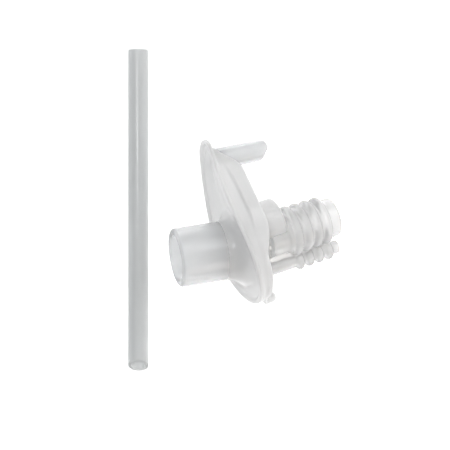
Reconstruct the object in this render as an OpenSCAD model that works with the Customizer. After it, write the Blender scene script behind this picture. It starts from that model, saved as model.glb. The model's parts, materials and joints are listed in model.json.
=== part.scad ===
// Nasal aspirator: a moulded suction head lying on its side, and its loose suction tube.
// Row frame: the floor is z = 0, +Y runs along the suction tube, +Z is up.
// Head frame: +x along the neck towards the hose spigots, +y towards the flange's narrow tip.

/* [Suction tube] */
// Outer diameter of the loose tube
tube_od = 6.3; // [5:0.1:8]
// Bore of the loose tube
tube_id = 4.4; // [3:0.1:4.6]
// Length of the loose tube to the point of its slanted end
tube_len = 100.5; // [80:0.5:140]
// Distance that the slanted end runs along the tube
tube_slant = 4; // [2:0.1:8]
// Position of the tube's axis across the row
tube_x = -30.1; // [-40:0.05:-26]

/* [Flange] */
// Radius of the flange's round end
leaf_r = 16.1; // [15:0.1:18]
// Drop of the round end's centre below the neck axis
leaf_drop = 1.6; // [0:0.1:4]
// Height of the narrow tip above the neck axis
leaf_tip = 34.4; // [30:0.1:40]
// Radius of the narrow tip
leaf_tip_r = 6.6; // [5:0.1:8]
// Thickness of the front rim
rim_t = 1.7; // [1:0.1:2.5]
// Depth of the groove between the front rim and the back lip
groove_d = 2.2; // [1:0.1:3]
// Total thickness of the flange at the neck
flange_t = 10; // [8:0.1:11]
// Radius of the arch that the front rim follows
rim_arch = 170; // [120:5:300]

/* [Nozzle socket] */
// Outer diameter of the nozzle socket
sock_od = 17.8; // [17:0.1:20]
// Bore of the nozzle socket
sock_id = 13.2; // [12:0.1:15]
// Distance from the neck's centre to the socket's mouth
sock_len = 20.6; // [18:0.1:26]
// Angle that the socket leans towards the narrow tip
sock_lean = 9; // [0:0.5:12]
// Angle that the socket turns down towards the floor
sock_turn = 2; // [0:0.5:10]

/* [Hose spigots] */
// Plain diameter of the large spigot
big_d = 12.2; // [11:0.1:13]
// Diameter over the large spigot's last rib
big_rib_d = 14.6; // [13:0.1:14.8]
// Extra diameter of the large spigot's first rib
big_taper = 1.2; // [0:0.1:1.6]
// Bore of the large spigot
big_bore = 9.2; // [8:0.1:10]
// Plain diameter of the small spigot
small_d = 4.1; // [3.6:0.1:4.6]
// Diameter over the small spigot's ribs
small_rib_d = 6.1; // [5:0.1:6.4]
// Bore of the small spigot
small_bore = 2.4; // [2:0.1:2.8]
// Distance from the neck's centre to the spigots' ends
spigot_len = 31.6; // [30:0.1:34]
// Distance from the neck's centre to the large spigot's first rib
big_rib_start = 16.8; // [16.4:0.1:18]
// Distance from the neck's centre to the small spigot's first rib
small_rib_start = 17.8; // [17:0.1:18]
// Spacing of the ribs
rib_pitch = 3.35; // [3:0.05:3.5]
// Number of ribs on each spigot
ribs = 4; // [2:1:4]
// Drop of the small spigot below the large one, across the flange
small_drop = 9.35; // [9:0.05:10]
// Offset of the small spigot towards the floor
small_side = 4.26; // [3.8:0.01:5]
// Thickness of the web between the spigots
web_t = 2.2; // [1.6:0.1:2.3]

/* [Prong and hump] */
// Diameter of the vent prong at its root
prong_d = 6.6; // [6:0.1:7]
// Diameter of the vent prong at its tip
prong_tip_d = 6.2; // [5:0.1:6.4]
// Bore of the vent prong
prong_bore = 3.4; // [2:0.1:4]
// Height of the vent prong above the neck axis
prong_y = 27.8; // [26:0.1:29]
// Distance from the flange's centre plane to the prong's tip
prong_len = 18.8; // [15:0.1:22]
// Angle that the prong leans towards the neck
prong_lean = 5.3; // [0:0.1:8]
// Diameter of the hump behind the flange
hump_d = 15.2; // [14:0.1:17]
// Height of the hump's centre above the neck axis
hump_y = 3.9; // [2:0.05:5]
// Distance from the flange's centre plane to the hump's end
hump_len = 13.8; // [12:0.1:15]

/* [Resting pose] */
// Angle that the spigots sag below the horizontal
sag = 17.5; // [14:0.1:20]
// Angle that the neck turns about the vertical
yaw = 18.3; // [0:0.1:30]
// Position of the neck's centre across the row
head_x = 1.84; // [-5:0.01:10]
// Position of the neck's centre along the row
head_y = -11.16; // [-20:0.01:0]

/* [Hidden] */
$fn = 96;
slip = 0.03;                                 // radial clearance of a push fit
front_x = -3.2;                              // front of the flange's rim
back_x = front_x + flange_t;                 // back of the flange at the neck
swell_y = 6;                                 // centre of the flange's swell above the neck
swell_r = 14.2;                              // radius of that swell
arch_y = 8;                                  // height at which the rim's arch is farthest forward
nub_x = 4.5;                                 // place and radius of the locating nub
nub_y = -17.3;
nub_r = 1.5;
head_z = (small_side + small_d / 2) * cos(sag) + spigot_len * sin(sag);
seat_x = 4.4;                                // where the spigots' roots stop in the flange
sock_root = -0.6;                            // where the socket's root stops
filter_x = 0.75;                             // front face of the filter pad
filter_t = 1.5;
grid_x = 2.3;                                // front face of the filter's grid
grid_t = 0.8;
hole_r = 0.7;                                // radius of the grid's holes
hole_pitch = 2;                              // distance between its rings of holes
neck_r = 5;                                  // radius of the neck behind the filter
filter_r = 6.05;                             // radius of the filter's chamber
duct_x = 3.75;                               // duct between the neck and the small spigot
duct_r = 0.6;
seal_t = 1.5;                                // thickness of the socket's seal cord
lip_inset = 1.3;                             // how far the back lip is inside the rim
dish_r = 80;                                 // radius of the dish in the flange's front
dish_d = 1.2;                                // depth of that dish
seal_x = -3.4;                               // place of the socket's seal ring
spigot_seal_t = 1.2;                         // thickness of the spigot's seal cord
spigot_seal_x = 8;                           // place of the spigot's seal ring
collar_x = -6.6;                             // front of the collar round the socket
collar_t = 0.6;                              // thickness of the collar at its front
collar_flare = 2.4;                          // how much wider it is at the flange
boss_t = 1.1;                                // wall of the bosses round the small roots
lip_r = 0.7;                                 // rounding of the socket's mouth
inner_lip_r = 4.8;                           // radius of the hole in the socket's root
inner_lip_t = 1.6;                           // thickness of the socket's root
rib_r = 1.25;                                // rounding of the ribs
end_r = 0.6;                                 // rounding of the spigots' ends
prong_seat = 1.2;                            // how deep the prong's seat starts
prong_cut = 1.9;                             // where the cut at the prong's tip starts
prong_wall = 1.2;                            // closed end of the prong's bore
prong_straight = 6;                          // where the prong's taper starts
web_gap = 5.1;                               // how far the web stops short of the spigots' ends
shoulder_gap = 0.05;                         // gap between the hump's end and the spigot's shoulder
clear_body = [0.84, 0.88, 0.90, 0.75];
milky_body = [0.93, 0.93, 0.92, 0.9];

// Moves a piece from the head frame to the row frame.
module in_row() translate([head_x, head_y, head_z]) rotate([0, sag, yaw]) children();

// Solid of revolution about the head's x axis.
module about_x() rotate([0, 90, 0]) children();

// The flange's outline: a round end, a swell above the neck and a narrow tip.
module leaf(inset) hull() {
    translate([-leaf_drop, 0]) circle(leaf_r - inset, $fn = 72);
    translate([swell_y, 0]) circle(swell_r - inset, $fn = 72);
    translate([leaf_tip - leaf_tip_r, 0]) circle(leaf_tip_r - inset, $fn = 48);
}

// A slab of the flange's outline from x0 to x1.
module slab(x0, x1, inset) translate([x0, 0, 0]) rotate([90, 0, 90])
    linear_extrude(x1 - x0) leaf(inset);

// A rod along x from x0 to x1.
module rod(r, x0, x1) translate([x0, 0, 0]) about_x() cylinder(r = r, h = x1 - x0);

// Places a piece on the socket's leaning axis.
module on_socket_axis() rotate([0, -sock_turn, -sock_lean]) children();

// Places a piece on the small spigot's axis.
module on_small_axis() translate([0, -small_drop, -small_side]) children();

// Places a piece on the prong's axis.
module on_prong_axis() translate([0, prong_y, 0]) rotate([0, 0, -prong_lean]) children();

// All space behind the arched surface that the flange's front follows.
module behind_arch(depth) translate([front_x + depth + rim_arch, arch_y, -30])
    cylinder(r = rim_arch, h = 60, $fn = 720);

// The thin rim, bent to a shallow arch so that its ends sweep back.
module front_rim() difference() {
    intersection() {
        slab(front_x, front_x + rim_t + 3, 0);
        behind_arch(0);
    }
    behind_arch(rim_t);
}

// The narrow waist between the rim and the back lip.
module waist() intersection() {
    slab(front_x, 1.8, groove_d);
    behind_arch(0);
}

// The thick lip behind the groove, thinner at the round end and at the narrow tip.
module back_lip() intersection() {
    slab(1.6, back_x + 0.4, lip_inset);
    translate([0, 0, -30]) linear_extrude(60)
        polygon([[0, -20], [4.4, -20], [4.4, -14], [3.4, -9], [4.6, -1.5], [back_x, 5],
                 [back_x + 0.4, 22], [5.6, 26], [2.2, 31.5], [0, 31.5]]);
}

module flange() color(milky_body) in_row() difference() {
    union() {
        difference() {
            union() {
                front_rim();
                waist();
            }
            translate([front_x + dish_d - dish_r, 0, 0]) sphere(r = dish_r, $fn = 180);
        }
        back_lip();
        // hump behind the flange, and the boss that holds the small spigot
        translate([0, hump_y, 0]) rod(hump_d / 2, 0, hump_len);
        on_small_axis() rod(small_d / 2 + boss_t, 1, seat_x + 3);
        // collar round the socket's root
        on_socket_axis() translate([collar_x, 0, 0]) about_x()
            cylinder(r1 = sock_od / 2 + collar_t, r2 = sock_od / 2 + collar_t + collar_flare,
                     h = -collar_x - 0.5);
        // boss round the prong's root
        on_prong_axis() rod(prong_d / 2 + boss_t, 0, 5);
        // locating nub at the round end
        translate([nub_x, nub_y, 0]) sphere(r = nub_r, $fn = 48);
    }
    on_socket_axis() rod(sock_od / 2 + slip, -sock_len, sock_root);
    // filter chamber, with a shoulder for the grid, and the neck behind it
    rod(filter_r, -3, grid_x + grid_t);
    rod(neck_r, 0, seat_x + 1);
    rod(big_d / 2 + slip, seat_x, hump_len + 5);
    on_small_axis() rod(small_d / 2 + slip, seat_x, hump_len);
    web(web_t / 2 + slip, seat_x);
    on_small_axis() rod(small_bore / 2, duct_x - 0.6, seat_x + 1);
    translate([duct_x, 0, 0]) rotate([90 + atan2(small_side, small_drop), 0, 0])
        cylinder(r = duct_r, h = norm([small_drop, small_side]));
    on_prong_axis() rod(prong_d / 2 + slip, prong_seat, prong_len);
}

// Flat web from the large spigot's axis to the small one's.
module web(half_t, x0) rotate([90 + atan2(small_side, small_drop), 0, 0])
    translate([x0, -half_t, 0]) cube([spigot_len - web_gap - x0, 2 * half_t, norm([small_drop, small_side])]);

// Straight tube with a rounded lip at its mouth.
module nozzle_socket() color(clear_body) in_row() on_socket_axis() difference() {
    union() {
        rod(sock_od / 2, -sock_len + lip_r, sock_root);
        translate([-sock_len + lip_r, 0, 0]) about_x() rotate_extrude()
            translate([sock_od / 2 - lip_r, 0]) circle(lip_r, $fn = 32);
        rod(sock_od / 2 - lip_r, -sock_len, -sock_len + lip_r + 0.3);
    }
    rod(sock_id / 2, -sock_len - 1, sock_root - inner_lip_t);
    rod(inner_lip_r, -sock_len, sock_root + 1);
    // seat of the seal ring
    cord_ring(sock_od / 2 + slip, seal_x, seal_t + 2 * slip);
}

// A ring of round cord about the x axis.
module cord_ring(r, x, t) translate([x, 0, 0]) about_x() rotate_extrude()
    translate([r, 0]) circle(t / 2, $fn = 32);

module socket_seal() color("gainsboro") in_row() on_socket_axis() intersection() {
    cord_ring(sock_od / 2 + slip, seal_x, seal_t);
    rod(sock_od / 2 + slip / 2, seal_x - 2, seal_x + 2);
}

// The core of a hose spigot: a straight root, a taper under the ribs and a plain rounded end.
module core(d, taper, taper_x, ribs_end) {
    rod(d / 2, seat_x + slip, spigot_len - end_r);
    if (taper > 0) translate([taper_x, 0, 0]) about_x()
        cylinder(r1 = (d + taper) / 2, r2 = d / 2, h = ribs_end - taper_x);
    rod(d / 2 - end_r, spigot_len - 2 * end_r, spigot_len);
    translate([spigot_len - end_r, 0, 0]) about_x() rotate_extrude()
        translate([d / 2 - end_r, 0]) circle(end_r, $fn = 32);
}

// Round ribs whose diameter falls by the taper from the first to the last.
module rib_rings(rib_d, taper, start) for (i = [0 : ribs - 1])
    translate([start + i * rib_pitch, 0, 0]) about_x() rotate_extrude()
        translate([(rib_d + taper * (1 - i / (ribs - 1))) / 2 - rib_r, 0]) circle(rib_r, $fn = 32);

// Insert with the large air spigot and the small drain spigot, joined by a web.
module hose_spigots() color(clear_body) in_row() difference() {
    union() {
        core(big_d, big_taper, hump_len + shoulder_gap, big_rib_start + (ribs - 1) * rib_pitch);
        rib_rings(big_rib_d, big_taper, big_rib_start);
        on_small_axis() core(small_d, 0, seat_x + 1, small_rib_start);
        on_small_axis() rib_rings(small_rib_d, 0, small_rib_start);
        web(web_t / 2, seat_x + 0.3);
    }
    rod(big_bore / 2, 0, spigot_len + 1);
    on_small_axis() rod(small_bore / 2, 0, spigot_len + 1);
    // seat of the seal ring
    cord_ring(big_d / 2 + slip, spigot_seal_x, spigot_seal_t + 2 * slip);
}

module filter_pad() color("white") in_row() rod(filter_r - 0.05, filter_x, filter_x + filter_t);

// Perforated disc that holds the pad off the neck.
module filter_grid() color("whitesmoke") in_row() difference() {
    rod(filter_r - slip, grid_x, grid_x + grid_t - slip);
    rod(hole_r, 0, grid_x + 2);
    for (ring = [1, 2], i = [0 : 6 * ring - 1])
        rotate([60 * i / ring, 0, 0]) translate([0, hole_pitch * ring, 0]) rod(hole_r, 0, grid_x + 2);
}

module spigot_seal() color("gainsboro") in_row() intersection() {
    cord_ring(big_d / 2 + slip, spigot_seal_x, spigot_seal_t);
    rod(big_d / 2 + slip / 2, spigot_seal_x - 1, spigot_seal_x + 1);
}

// Tapered tube with a flat and an oblique cut at its tip.
module vent_prong() color(clear_body) in_row() on_prong_axis() difference() {
    union() {
        rod(prong_d / 2, prong_seat + 0.1, prong_straight);
        translate([prong_straight, 0, 0]) about_x()
            cylinder(r1 = prong_d / 2, r2 = prong_tip_d / 2, h = prong_len - prong_straight);
    }
    rod(prong_bore / 2, prong_seat + prong_wall, prong_len + 1);
    translate([prong_len - prong_cut, prong_tip_d / 2 + 0.1, 2]) rotate([-25, 0, -58])
        translate([0, 0, -10]) cube([12, 12, 20]);
}

module suction_tube() color(clear_body) translate([tube_x, 0, tube_od / 2]) difference() {
    rotate([90, 0, 0]) cylinder(r = tube_od / 2, h = tube_len, center = true);
    rotate([90, 0, 0]) cylinder(r = tube_id / 2, h = tube_len + 1, center = true);
    translate([0, -tube_len / 2, -tube_od / 2]) rotate([atan2(tube_od, tube_slant), 0, 0])
        translate([-tube_od, -1, 0]) cube([2 * tube_od, tube_od * 2, tube_od]);
}

flange();
nozzle_socket();
socket_seal();
hose_spigots();
filter_pad();
filter_grid();
spigot_seal();
vent_prong();
suction_tube();
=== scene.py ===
"""Looks of the nasal aspirator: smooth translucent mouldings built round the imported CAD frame."""

import json
import math

import bmesh
import bpy
import numpy as np
from mathutils import Matrix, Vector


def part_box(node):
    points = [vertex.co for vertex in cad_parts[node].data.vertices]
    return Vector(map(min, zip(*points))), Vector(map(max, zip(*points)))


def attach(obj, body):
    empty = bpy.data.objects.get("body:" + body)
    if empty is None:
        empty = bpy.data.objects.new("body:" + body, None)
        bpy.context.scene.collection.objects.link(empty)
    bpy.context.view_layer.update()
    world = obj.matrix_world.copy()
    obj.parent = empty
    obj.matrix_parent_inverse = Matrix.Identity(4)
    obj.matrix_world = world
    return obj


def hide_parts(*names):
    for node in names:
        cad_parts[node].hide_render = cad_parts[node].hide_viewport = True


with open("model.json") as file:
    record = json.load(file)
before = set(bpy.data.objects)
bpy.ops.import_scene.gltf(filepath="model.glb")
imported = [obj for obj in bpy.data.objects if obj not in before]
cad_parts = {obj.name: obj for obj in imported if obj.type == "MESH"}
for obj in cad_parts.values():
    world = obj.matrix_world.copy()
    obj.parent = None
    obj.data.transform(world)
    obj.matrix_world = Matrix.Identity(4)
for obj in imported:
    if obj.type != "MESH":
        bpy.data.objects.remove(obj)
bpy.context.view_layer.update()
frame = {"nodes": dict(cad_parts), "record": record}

MM = 0.001

# ---------------------------------------------------------------- the head's own frame
# Head frame, in millimetres: x along the neck towards the hose spigots, y towards the flange's
# narrow tip, z to the side that faces up. It comes from the mounts and joints in the record.
MOUNTS = {m["name"]: m for m in frame["record"]["mounts"]}
JOINTS = {j["name"]: j for j in frame["record"]["behaviour"]["joints"]}


def unit(v):
    v = np.array(v, float)
    return v / np.linalg.norm(v)


NECK = np.array(MOUNTS["flange_groove"]["pos_m"]) / MM
NECK_X = unit(MOUNTS["flange_groove"]["axis"])
NECK_Y = unit(np.cross((0, 0, 1), NECK_X))
NECK_Z = np.cross(NECK_X, NECK_Y)
HEAD = np.array([NECK_X, NECK_Y, NECK_Z])       # rows: the head's axes in the row frame


def axis_frame(direction):
    """Head-frame axes whose x runs along a row-frame direction, as rows."""
    x = HEAD @ unit(direction)
    z = unit(np.cross(x, (0, 1, 0)))
    return np.array([x, np.cross(z, x), z])


SOCKET = axis_frame(-np.array(MOUNTS["nozzle_mouth"]["axis"]))
PRONG = axis_frame(JOINTS["prong_pull"]["axis"])

# ---------------------------------------------------------------- sizes, in millimetres
LEAF = ((-1.6, 16.1), (6.0, 14.2), (27.8, 6.6))  # centre height and radius of the flange's arcs
FRONT = -3.2             # front of the rim at the arch's middle
ARCH_Y, ARCH_R = 8.0, 170.0
RIM_T = 1.3              # thickness of the rim at its edge
GROOVE = 2.2             # depth of the groove behind the rim
NARROW_GROOVE = 1.45     # and its depth at the flange's ends
LIP_X, LIP_INSET = 1.7, 1.3
BOSS_T = 1.0             # wall of the bosses round the small roots
SOCK_R, SOCK_BORE, SOCK_LEN, SOCK_ROOT = 8.9, 6.6, 20.6, -0.6
SOCK_HOLE, SOCK_FLOOR_T = 4.8, 1.6   # hole in the socket's inner end, and that end's thickness
MOUTH_T, EDGE = 0.9, 0.4            # roundings of the socket's mouth and of its inner edges
BIG_R, BIG_RIB, BIG_BORE, BIG_TAPER, BIG_START = 6.1, 7.5, 4.6, 0.4, 16.8
SMALL_R, SMALL_RIB, SMALL_BORE, SMALL_START = 2.05, 3.1, 1.2, 17.8
SMALL_AT = (0.0, -9.35, -4.26)
WEB, WEB_END = 1.1, 26.5  # half the thickness of the web between the spigots, and its end
SEAT, SPIGOT_END = 4.4, 31.6
RIB_PITCH, RIBS, RIB_R = 3.35, 4, 1.25
HUMP_R, HUMP_Y, HUMP_END = 7.6, 3.9, 13.8
PRONG_AT = (0.0, 27.8, 0.0)
PRONG_R, PRONG_TIP_R, PRONG_BORE, PRONG_END = 3.3, 3.1, 1.7, 18.1
PRONG_SEAT = 1.2         # how deep the prong's seat starts in the flange
TUBE_R, TUBE_BORE, TUBE_SLANT, TUBE_EDGE = 3.15, 2.2, 4.0, 0.15
NUB, NUB_R = (4.2, -17.3), 1.5       # locating nub at the flange's round end, as (x, y)
COLLAR_X, COLLAR_T, COLLAR_FLARE = -7.6, -0.08, 3.4     # it starts just under the socket's skin
COLLAR_GRIP = 0.55       # how far the soft collar is let into the socket's wall, so that no seam shows
FILTER_R, CHAMBER_END, NECK_R = 6.05, 3.1, 5.0
SLIP = 0.03              # clearance of a push fit


# ---------------------------------------------------------------- solid forms as distance functions
def leaf_distance(y, z):
    """Distance in the flange's plane from its outline: a hull of arcs, negative inside."""
    z = np.abs(z)
    best = None
    for (y0, r0), (y1, r1) in zip(LEAF, LEAF[1:]):
        h = y1 - y0
        b = (r0 - r1) / h
        a = math.sqrt(1 - b * b)
        k = -b * z + a * (y - y0)
        low = np.hypot(z, y - y0) - r0
        high = np.hypot(z, y - y1) - r1
        side = z * a + (y - y0) * b - r0
        d = np.where(k < 0, low, np.where(k > a * h, high, side))
        best = d if best is None else np.minimum(best, d)
    return best


def smooth_step(lo, hi, x):
    t = np.clip((x - lo) / (hi - lo), 0, 1)
    return t * t * (3 - 2 * t)


def join(a, b, k):
    """Union with a fillet of about k."""
    h = np.clip(0.5 + 0.5 * (b - a) / k, 0, 1)
    return b + (a - b) * h - k * h * (1 - h)


def cut(a, b, k=0.3):
    """a without b, with an edge rounded by about k."""
    return -join(-a, b, k)


def rod(p, r, x0, x1, round_r=0.3):
    """Distance to a cylinder along x with rounded edges."""
    radial = np.hypot(p[1], p[2]) - r + round_r
    axial = np.maximum(x0 - p[0], p[0] - x1) + round_r
    outside = np.hypot(np.maximum(radial, 0), np.maximum(axial, 0))
    return outside + np.minimum(np.maximum(radial, axial), 0) - round_r


def turned_to(p, axes, at=(0, 0, 0)):
    """Points in the frame of a leaning piece."""
    q = [p[i] - at[i] for i in range(3)]
    return [sum(axes[i][j] * q[j] for j in range(3)) for i in range(3)]


def rounded(a, b, r):
    """Where two half spaces overlap, with the edge between them rounded by r."""
    a, b = a + r, b + r
    return np.hypot(np.maximum(a, 0), np.maximum(b, 0)) + np.minimum(np.maximum(a, b), 0) - r


def arch(y):
    return (y - ARCH_Y) ** 2 / (2 * ARCH_R)


def web_distance(p, half):
    """Flat web from the large spigot's axis to the small one's."""
    reach = math.hypot(SMALL_AT[1], SMALL_AT[2])
    along = (p[1] * SMALL_AT[1] + p[2] * SMALL_AT[2]) / reach
    across = np.abs(p[1] * SMALL_AT[2] - p[2] * SMALL_AT[1]) / reach - half
    return np.maximum(np.maximum(across, np.maximum(-along, along - reach)),
                      np.maximum(SEAT + SLIP - p[0], p[0] - WEB_END))


def flange_distance(x, y, z):
    p = (x, y, z)
    outline = leaf_distance(y, z)
    bent = x - arch(y)
    inner = -outline
    # thin rim with a dish inside it
    dish = FRONT + 0.9 * smooth_step(0.9, 2.1, inner) + 0.8 * smooth_step(2, 11, inner)
    rim = rounded(outline, np.maximum(dish - bent, bent - FRONT - RIM_T), 0.28)
    # waist behind it: deepest where the flange swells, filled towards both ends
    open_here = smooth_step(1, 9, y) * (1 - smooth_step(18, 27, y))
    depth = NARROW_GROOVE + (GROOVE - NARROW_GROOVE) * open_here
    depth += 2.3 * smooth_step(25, 31, y) - 1.0 * smooth_step(2, 12, -y)
    waist = np.maximum(outline + depth, np.maximum(dish - bent, x - LIP_X - 1))
    d = join(rim, waist, 0.45)
    # back lip, thin at the round end and at the narrow tip
    back = 1.6 + 4.7 * smooth_step(-9, 6, y) - 4.3 * smooth_step(22.5, 31, y)
    back += 1.2 * smooth_step(11, 16, -y)
    lip_front = LIP_X - 0.9 + 1.1 * open_here
    inset = LIP_INSET - 1.1 * smooth_step(2, 12, -y) + 3.4 * smooth_step(25, 33, y)
    lip = rounded(outline + inset, np.maximum(lip_front - x, x - back), 0.75)
    d = join(d, lip, 0.35)
    # hump, bosses of the two spigots, socket collar, prong boss and nub
    d = join(d, rod((x, y - HUMP_Y, z), HUMP_R, 0, HUMP_END, 1.0), 1.4)
    d = join(d, rod(p, BIG_R + BOSS_T + 0.1, 0, SEAT + 1.3, 0.5), 0.8)
    small = tuple(p[i] - SMALL_AT[i] for i in range(3))
    d = join(d, rod(small, SMALL_R + BOSS_T, 0, SEAT + 3, 0.5), 1.2)
    s = turned_to(p, SOCKET)
    flare = COLLAR_FLARE * np.clip((s[0] - COLLAR_X) / (-COLLAR_X), 0, 1) ** 2
    collar = rounded(np.hypot(s[1], s[2]) - SOCK_R - COLLAR_T - flare,
                     np.maximum(COLLAR_X - s[0], s[0] + 0.5), 0.35)
    d = join(d, collar, 3.0)
    q = turned_to(p, PRONG, PRONG_AT)
    d = join(d, rod(q, PRONG_R + 0.3, 0, 2.2, 0.8), 1.0)
    nub = np.sqrt(np.maximum(x - NUB[0], 0) ** 2 + (y - NUB[1]) ** 2 + z ** 2) - NUB_R
    d = join(d, np.maximum(nub, 1.7 - x), 1.0)
    # seats and bores
    d = cut(d, rod(s, SOCK_R - COLLAR_GRIP, -SOCK_LEN, SOCK_ROOT), 0.05)
    d = cut(d, rod(p, FILTER_R, -3, CHAMBER_END))
    d = cut(d, rod(p, NECK_R, 0, SEAT + 1))
    d = cut(d, rod(p, BIG_R + SLIP, SEAT, HUMP_END + 5))
    d = cut(d, rod(small, SMALL_R + SLIP, SEAT, HUMP_END), 0.15)
    d = cut(d, web_distance(p, WEB + 0.15), 0.1)
    d = cut(d, rod(q, PRONG_R + SLIP, PRONG_SEAT, PRONG_END), 0.15)
    return d


def spigot_distance(p, r, rib, bore, start, taper):
    """Straight root, taper under the ribs, round ribs and a plain end with a rounded edge."""
    radial = np.hypot(p[1], p[2])
    last = start + (RIBS - 1) * RIB_PITCH
    d = rod(p, r, SEAT + SLIP, SPIGOT_END, 0.55)
    if taper:
        swell = r + taper * np.clip((last - p[0]) / (last - HUMP_END), 0, 1)
        d = join(d, rounded(radial - swell, np.maximum(HUMP_END + 0.05 - p[0], p[0] - last), 0.3), 0.2)
    for i in range(RIBS):
        crest = rib + taper * (1 - i / (RIBS - 1)) - RIB_R
        ring = np.hypot(np.maximum(radial - crest, 0), p[0] - start - i * RIB_PITCH) - RIB_R
        d = join(d, ring, 0.3)
    return d


def insert_distance(x, y, z):
    p = (x, y, z)
    small = tuple(p[i] - SMALL_AT[i] for i in range(3))
    d = spigot_distance(p, BIG_R, BIG_RIB, BIG_BORE, BIG_START, BIG_TAPER)
    d = join(d, spigot_distance(small, SMALL_R, SMALL_RIB, SMALL_BORE, SMALL_START, 0), 0.3)
    d = join(d, web_distance(p, WEB), 0.5)
    d = cut(d, rod(p, BIG_BORE, 0, SPIGOT_END + 5), 0.35)
    return cut(d, rod(small, SMALL_BORE, 0, SPIGOT_END + 5), 0.2)


def prong_distance(x, y, z):
    radial = np.hypot(y, z)
    r = PRONG_R + (PRONG_TIP_R - PRONG_R) * np.clip((x - 6) / (PRONG_END - 6), 0, 1)
    d = rounded(radial - r, np.maximum(PRONG_SEAT + 0.1 - x, x - PRONG_END), 0.3)
    # two oblique cuts that meet at the tip, and a flat on its upper side
    d = cut(d, -((x - PRONG_END) * 0.93 + y * 0.35 + z * 0.12), 0.15)
    d = cut(d, -((x - PRONG_END) * 0.75 - y * 0.6 + z * 0.2), 0.5)
    flat = y - PRONG_TIP_R - 0.05 + (x - PRONG_END + 5) * 0.1 + z * 0.08
    d = cut(d, -flat, 0.15)
    return cut(d, rod((x, y, z), PRONG_BORE, 2 * PRONG_SEAT, PRONG_END + 5), 0.2)


SMOOTHING = (0.5, -0.52)  # a step that shrinks the mesh and one that swells it back


def surface(distance, low, high, step):
    """Mesh of a distance function's zero surface, by surface nets, as vertices and quads."""
    axes = [np.arange(low[i], high[i] + step, step) for i in range(3)]
    grid = np.meshgrid(*axes, indexing="ij")
    value = distance(*grid)
    for d in range(3):                       # soften edges by about a cell
        value = (value + 0.5 * (np.roll(value, 1, d) + np.roll(value, -1, d))) / 2
    inside = value < 0
    n = [len(a) for a in axes]
    total = np.zeros([n[0] - 1, n[1] - 1, n[2] - 1, 3])
    count = np.zeros([n[0] - 1, n[1] - 1, n[2] - 1])
    corners = [(i, j, k) for i in (0, 1) for j in (0, 1) for k in (0, 1)]
    window = lambda a, c: a[c[0]:n[0] - 1 + c[0], c[1]:n[1] - 1 + c[1], c[2]:n[2] - 1 + c[2]]
    for a in corners:
        for b in corners:
            if sum(b) - sum(a) != 1 or sum(abs(b[i] - a[i]) for i in range(3)) != 1:
                continue
            va, vb = window(value, a), window(value, b)
            cross = window(inside, a) != window(inside, b)
            t = np.where(cross, va / np.where(cross, va - vb, 1), 0)
            for i in range(3):
                total[..., i] += np.where(cross, a[i] + t * (b[i] - a[i]), 0)
            count += cross
    used = count > 0
    index = np.full(used.shape, -1)
    index[used] = np.arange(used.sum())
    cells = np.argwhere(used)
    verts = (cells + total[used] / count[used][:, None]) * step + np.array(low)
    quads = []
    for d in range(3):
        u, v = [(1, 2), (2, 0), (0, 1)][d]
        a = np.take(inside, range(n[d] - 1), axis=d)
        b = np.take(inside, range(1, n[d]), axis=d)
        at = np.argwhere(a != b)
        at = at[(at[:, u] > 0) & (at[:, v] > 0) & (at[:, u] < n[u] - 1) & (at[:, v] < n[v] - 1)]
        ring = []
        for du, dv in ((0, 0), (1, 0), (1, 1), (0, 1)):
            c = at.copy()
            c[:, u] -= du
            c[:, v] -= dv
            ring.append(index[tuple(c.T)])
        ring = np.array(ring).T
        flip = ~a[tuple(at.T)]
        ring[flip] = ring[flip][:, ::-1]
        quads.append(ring)
    quads = np.concatenate(quads)
    # even out the stair steps without shrinking the shape
    ends = np.concatenate([quads[:, [k, (k + 1) % 4]] for k in range(4)])
    links = np.bincount(ends[:, 0], minlength=len(verts))[:, None]
    for factor in SMOOTHING * 4:
        mean = np.array([np.bincount(ends[:, 0], verts[ends[:, 1], i], len(verts)) for i in range(3)]).T
        verts = verts + factor * (mean / np.maximum(links, 1) - verts)
    return verts, quads


# ---------------------------------------------------------------- turned pieces
def arc(cx, cr, r, a0, a1, n=8):
    """Points (x, radius) on an arc about (cx, cr), from angle a0 to a1 in degrees."""
    return [(cx + r * math.cos(math.radians(a0 + (a1 - a0) * i / n)),
             cr + r * math.sin(math.radians(a0 + (a1 - a0) * i / n))) for i in range(n + 1)]


def turned(profile, segments=96, slant=None):
    """A closed profile of (x, radius) turned about x. slant(x, y, z) may pull points back along x."""
    verts, quads = [], []
    m = len(profile)
    for s in range(segments):
        a = 2 * math.pi * s / segments
        for x, r in profile:
            y, z = r * math.cos(a), r * math.sin(a)
            verts.append((slant(x, y, z) if slant else x, y, z))
    for s in range(segments):
        t = (s + 1) % segments
        for i in range(m):
            j = (i + 1) % m
            quads.append((s * m + i, s * m + j, t * m + j, t * m + i))
    return np.array(verts), np.array(quads)


def subdivided(points, longest):
    """The closed profile with its long straight stretches cut up."""
    out = []
    for a, b in zip(points, points[1:] + points[:1]):
        steps = max(1, math.ceil(math.dist(a, b) / longest))
        out += [(a[0] + (b[0] - a[0]) * i / steps, a[1] + (b[1] - a[1]) * i / steps)
                for i in range(steps)]
    return out


def in_head(verts, axes=np.eye(3), at=(0, 0, 0)):
    """Points of a piece on its own axes, moved to the head frame."""
    return verts @ np.array(axes) + np.array(at)


def to_row(verts):
    """Head-frame millimetres to row-frame metres."""
    return (verts @ HEAD + NECK) * MM


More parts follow.
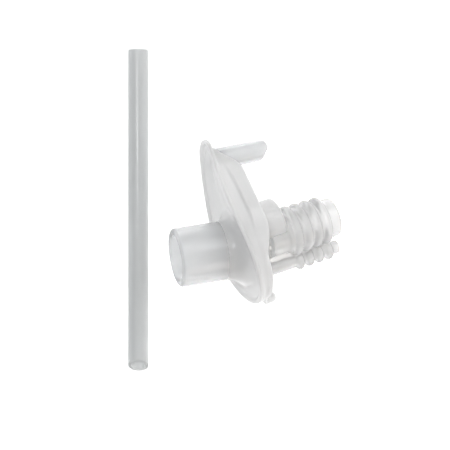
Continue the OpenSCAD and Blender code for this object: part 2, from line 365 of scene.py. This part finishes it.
def piece(name, verts, quads, material, body, slot, *nodes):
    """A smooth mesh that stands for CAD nodes and rides on their body."""
    mesh = bpy.data.meshes.new(name)
    mesh.from_pydata(verts.tolist(), [], quads.tolist())
    mesh.validate()
    mesh.update()
    ob = bpy.data.objects.new(name, mesh)
    bpy.context.scene.collection.objects.link(ob)
    for f in mesh.polygons:
        f.use_smooth = True
    mesh.materials.append(material)
    outward(ob)
    if nodes:
        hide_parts(*nodes)
    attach(ob, body)
    return ob


def outward(ob):
    """Turns all faces to face outwards."""
    bm = bmesh.new()
    bm.from_mesh(ob.data)
    bmesh.ops.recalc_face_normals(bm, faces=bm.faces)
    bm.to_mesh(ob.data)
    bm.free()


# ---------------------------------------------------------------- materials
def plastic(name, colour, transmission, roughness, subsurface=0.0, radius=(3, 3, 3), ior=1.45,
            coat=0.0, grain=0.4, mottle=0.04):
    """Translucent moulded plastic: cloudy colour, uneven gloss and a fine moulded grain."""
    m = bpy.data.materials.new(name)
    m.use_nodes = True
    nt = m.node_tree
    p = nt.nodes["Principled BSDF"]
    p.inputs["IOR"].default_value = ior
    p.inputs["Transmission Weight"].default_value = transmission
    p.inputs["Subsurface Weight"].default_value = subsurface
    p.inputs["Subsurface Radius"].default_value = [r * MM for r in radius]
    p.inputs["Subsurface Scale"].default_value = 1.0
    p.inputs["Coat Weight"].default_value = coat
    p.inputs["Coat Roughness"].default_value = 0.08
    at = nt.nodes.new("ShaderNodeTexCoord").outputs["Object"]

    def noise(scale, detail):
        n = nt.nodes.new("ShaderNodeTexNoise")
        n.inputs["Scale"].default_value = scale
        n.inputs["Detail"].default_value = detail
        nt.links.new(at, n.inputs["Vector"])
        return n.outputs["Fac"]

    cloud = noise(140, 3)
    ramp = nt.nodes.new("ShaderNodeMix")
    ramp.data_type = "RGBA"
    ramp.inputs["A"].default_value = [*[c * (1 - mottle) for c in colour], 1]
    ramp.inputs["B"].default_value = [*[min(1, c * (1 + mottle)) for c in colour], 1]
    nt.links.new(cloud, ramp.inputs["Factor"])
    nt.links.new(ramp.outputs["Result"], p.inputs["Base Color"])
    gloss = nt.nodes.new("ShaderNodeMapRange")
    gloss.inputs["To Min"].default_value = roughness * 0.75
    gloss.inputs["To Max"].default_value = roughness * 1.25
    nt.links.new(noise(420, 2), gloss.inputs["Value"])
    nt.links.new(gloss.outputs["Result"], p.inputs["Roughness"])
    bump = nt.nodes.new("ShaderNodeBump")
    bump.inputs["Strength"].default_value = grain
    bump.inputs["Distance"].default_value = 0.00002
    nt.links.new(noise(1800, 2), bump.inputs["Height"])
    nt.links.new(bump.outputs["Normal"], p.inputs["Normal"])
    return m


MILKY = plastic("milky_silicone", (0.96, 0.96, 0.955), 0.35, 0.38, 0.5, (4, 4, 4), 1.42, 0.5)
CLEAR = plastic("clear_plastic", (0.955, 0.97, 0.99), 0.55, 0.2, 0.4, (4, 4, 4), 1.44, 0.6)
SPIGOT = plastic("glossy_clear_plastic", (0.985, 0.983, 0.977), 0.65, 0.12, 0.5, (5, 5, 5), 1.46, 1.0, 0.15)
FROSTED = plastic("frosted_plastic", (0.84, 0.855, 0.855), 0.5, 0.38, 0.0, (2, 2, 2), 1.4, 0.2)
SEAL = plastic("seal_rubber", (0.6, 0.61, 0.61), 0.2, 0.5)
FELT = plastic("filter_felt", (0.85, 0.85, 0.84), 0.0, 0.9, grain=1.0)
WHITE = plastic("white_plastic", (0.8, 0.8, 0.79), 0.1, 0.4)


# ---------------------------------------------------------------- pieces
def make_flange():
    verts, quads = surface(flange_distance, (-9.5, -19.6, -16.9), (14.5, 35.2, 16.9), 0.25)
    piece("flange_moulding", to_row(verts), quads, MILKY, "head", "milky_silicone", "flange")


def make_socket():
    lip = (SOCK_R - SOCK_BORE) / 2
    middle = (SOCK_R + SOCK_BORE) / 2
    profile = [(-SOCK_LEN + MOUTH_T * (1 + x / lip), r) for x, r in arc(0, middle, lip, 270, 90, 16)]
    floor = SOCK_ROOT - SOCK_FLOOR_T
    profile += [(SOCK_ROOT - EDGE, SOCK_R), (SOCK_ROOT, SOCK_R - EDGE), (SOCK_ROOT, SOCK_HOLE),
                (floor, SOCK_HOLE), (floor, SOCK_BORE - EDGE), (floor - EDGE, SOCK_BORE)]
    verts, quads = turned(subdivided(profile, 1.0), 144)
    piece("socket_sleeve", to_row(in_head(verts, SOCKET)), quads,
          CLEAR, "nozzle", "clear_plastic", "nozzle_socket")


def make_spigots():
    verts, quads = surface(insert_distance, (3.9, -12.9, -7.9), (32.2, 8.3, 8.3), 0.24)
    piece("spigot_insert", to_row(verts), quads, SPIGOT, "head", "clear_plastic", "hose_spigots")


def make_prong():
    verts, quads = surface(prong_distance, (0.9, -3.8, -3.8), (19.3, 3.8, 3.8), 0.2)
    piece("prong_tube", to_row(in_head(verts, PRONG, PRONG_AT)), quads,
          CLEAR, "prong", "clear_plastic", "vent_prong")


def make_tube():
    low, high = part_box("suction_tube")
    middle = (np.array(low) + np.array(high)) / 2
    half = (high[1] - low[1]) / 2 / MM
    profile = arc(half - TUBE_EDGE, TUBE_R - TUBE_EDGE, TUBE_EDGE, 90, 0, 3)
    profile += [(half, TUBE_BORE + 0.1), (half - 0.1, TUBE_BORE), (-half, TUBE_BORE), (-half, TUBE_R)]

    def slanted(x, y, z):
        return max(x, -half + TUBE_SLANT * (z + TUBE_R) / (2 * TUBE_R)) if x < -half + 6 else x

    verts, quads = turned(subdivided(profile, 1.0), 96, slanted)
    along_y = verts[:, [1, 0, 2]] * (-1, 1, 1)
    piece("suction_tube_drawn", along_y * MM + middle, quads,
          FROSTED, "tube", "frosted_plastic", "suction_tube")


make_flange()
make_socket()
make_spigots()
make_prong()
make_tube()
INSIDE = {"socket_seal": SEAL, "spigot_seal": SEAL, "filter_pad": FELT, "filter_grid": WHITE}
for node, material in INSIDE.items():
    frame["nodes"][node].data.materials.clear()
    frame["nodes"][node].data.materials.append(material)


# ---------------------------------------------------------------- floor, light and camera
def make_floor():
    bpy.ops.mesh.primitive_plane_add(size=3, location=(0, 0, -0.0002))
    floor = bpy.context.object
    floor.name = "pale_floor"
    m = bpy.data.materials.new("pale_floor")
    m.use_nodes = True
    p = m.node_tree.nodes["Principled BSDF"]
    p.inputs["Base Color"].default_value = (0.93, 0.93, 0.93, 1)
    p.inputs["Roughness"].default_value = 0.9
    p.inputs["Emission Color"].default_value = (1, 1, 1, 1)
    p.inputs["Emission Strength"].default_value = 0.55
    floor.data.materials.append(m)


def area_light(name, at, size, power, aim=(0, 0, 0.01), colour=(1, 1, 1)):
    data = bpy.data.lights.new(name, "AREA")
    data.color = colour
    data.shape = "RECTANGLE"
    data.size, data.size_y = size
    data.energy = power
    ob = bpy.data.objects.new(name, data)
    bpy.context.scene.collection.objects.link(ob)
    look_at(ob, at, aim)


def look_at(ob, at, aim, up=(0, 0, 1)):
    z = unit(np.array(at) - np.array(aim))
    x = unit(np.cross(up if abs(np.dot(unit(up), z)) < 0.99 else (0, 1, 0), z))
    y = np.cross(z, x)
    ob.matrix_world = Matrix(((x[0], y[0], z[0], at[0]), (x[1], y[1], z[1], at[1]),
                              (x[2], y[2], z[2], at[2]), (0, 0, 0, 1)))


def make_world():
    world = bpy.data.worlds.new("studio")
    bpy.context.scene.world = world
    world.use_nodes = True
    nt = world.node_tree
    ramp = nt.nodes.new("ShaderNodeValToRGB")
    stops = ramp.color_ramp.elements
    for place, grey in ((0.0, 0.95), (0.5, 0.95), (0.75, 0.50), (1.0, 0.30)):
        stop = stops[int(place)] if place in (0, 1) else stops.new(place)
        stop.color = (grey, grey, grey * 1.01, 1)
    split = nt.nodes.new("ShaderNodeSeparateXYZ")
    left = nt.nodes.new("ShaderNodeMapRange")
    left.inputs["From Min"].default_value = 0.3
    left.inputs["From Max"].default_value = -1.0
    left.inputs["To Max"].default_value = 0.75
    shade = nt.nodes.new("ShaderNodeMix")
    shade.data_type = "RGBA"
    shade.inputs["B"].default_value = (0.40, 0.43, 0.46, 1)
    nt.links.new(split.outputs["X"], left.inputs["Value"])
    nt.links.new(left.outputs["Result"], shade.inputs["Factor"])
    up = nt.nodes.new("ShaderNodeMath")
    up.operation = "MULTIPLY_ADD"
    up.inputs[1].default_value = up.inputs[2].default_value = 0.5
    nt.links.new(nt.nodes.new("ShaderNodeTexCoord").outputs["Generated"], split.inputs[0])
    nt.links.new(split.outputs["Z"], up.inputs[0])
    nt.links.new(up.outputs[0], ramp.inputs["Fac"])
    nt.links.new(ramp.outputs["Color"], shade.inputs["A"])
    nt.links.new(shade.outputs["Result"], nt.nodes["Background"].inputs["Color"])
    nt.nodes["Background"].inputs["Strength"].default_value = 0.6
    bpy.context.scene.view_settings.view_transform = "Standard"


def make_camera():
    data = bpy.data.cameras.new("camera")
    camera = bpy.data.objects.new("camera", data)
    bpy.context.scene.collection.objects.link(camera)
    data.sensor_width = 36
    distance, width = 0.407, 0.140625
    data.lens = 36 * distance / width
    data.clip_start = 0.01
    at = (-0.003, -0.0044, distance + 0.003)
    look_at(camera, at, (at[0], at[1], 0), up=(0, 1, 0))
    bpy.context.scene.camera = camera


make_floor()
make_world()
make_camera()
area_light("left_soft_box", (-1.1, 0.2, 0.6), (1.2, 1.4), 1)
area_light("right_soft_box", (1.1, 0.3, 0.6), (1.4, 1.4), 4.5)
area_light("top_soft_box", (0.2, 0.9, 1.1), (1.4, 1.0), 4)
area_light("overhead_strip", (-0.25, 0.15, 1.3), (0.12, 0.4), 3.5)
area_light("warm_card", (0.5, -0.9, 0.45), (1.0, 0.5), 2.5, colour=(1, 0.93, 0.87))
